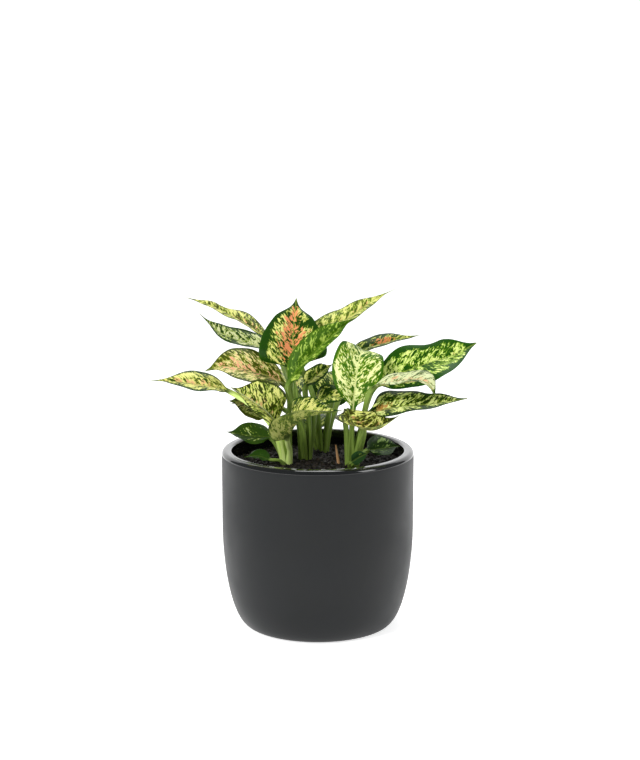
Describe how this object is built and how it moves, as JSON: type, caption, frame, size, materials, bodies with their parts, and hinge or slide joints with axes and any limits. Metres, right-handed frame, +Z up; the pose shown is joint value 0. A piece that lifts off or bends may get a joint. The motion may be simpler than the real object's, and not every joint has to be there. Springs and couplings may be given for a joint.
{
  "type": "potted chinese evergreen",
  "caption": "Potted Chinese evergreen: a clump of variegated leaves on slender petioles in a deep round pot with a curved foot, filled with potting mix to below the rim.",
  "frame": {"origin": "centre of the pot's flat foot, on the surface it stands on", "axes": "+Z up, -Y towards the front, the side where the pink-veined centre leaf faces, +X to the right seen from the front"},
  "size_m": [0.301, 0.2149, 0.3123],
  "materials": {
    "leaf_green": "waxy green leaf, flecked",
    "leaf_yellow": "waxy yellow-green leaf, flecked",
    "leaf_pink": "waxy leaf with pink and orange blotches",
    "leaf_pale": "waxy pale green leaf",
    "leaf_dark": "waxy dark green leaf, few flecks",
    "cane": "green, satin",
    "dry_sheath": "dry, papery",
    "potting_mix": "loose, crumbly, matte",
    "pot": "satin charcoal outside, gloss black rim and inside"
  },
  "bodies": {
    "root": {"pot": "pot", "leaf_left_broad": "leaf_pink", "leaf_left_long": "leaf_yellow", "leaf_left_front": "leaf_yellow", "leaf_left_cup": "leaf_pale", "leaf_left_rim": "leaf_dark", "leaf_left_hanging": "leaf_dark", "leaf_left_small": "leaf_dark", "leaf_centre_tall": "leaf_pink", "leaf_centre_young": "leaf_green", "leaf_left_top": "leaf_yellow", "leaf_left_second": "leaf_green", "leaf_centre_low": "leaf_yellow", "leaf_centre_shaded": "leaf_dark", "leaf_right_upright": "leaf_yellow", "leaf_right_broad": "leaf_green", "leaf_right_drooping": "leaf_pale", "leaf_right_low": "leaf_green", "leaf_right_bowl": "leaf_pink", "leaf_right_soil": "leaf_dark", "leaf_right_basal": "leaf_green", "leaf_top_long": "leaf_yellow", "leaf_right_top": "leaf_green", "leaf_back_right": "leaf_green", "leaf_back_centre": "leaf_dark", "leaf_back_left": "leaf_green", "leaf_back_side": "leaf_green", "leaf_back_low": "leaf_green", "cane_left": "cane", "cane_centre": "cane", "cane_right": "cane", "cane_back": "cane", "dry_sheath": "dry_sheath", "potting_mix": "potting_mix"}
  },
  "joints": []
}
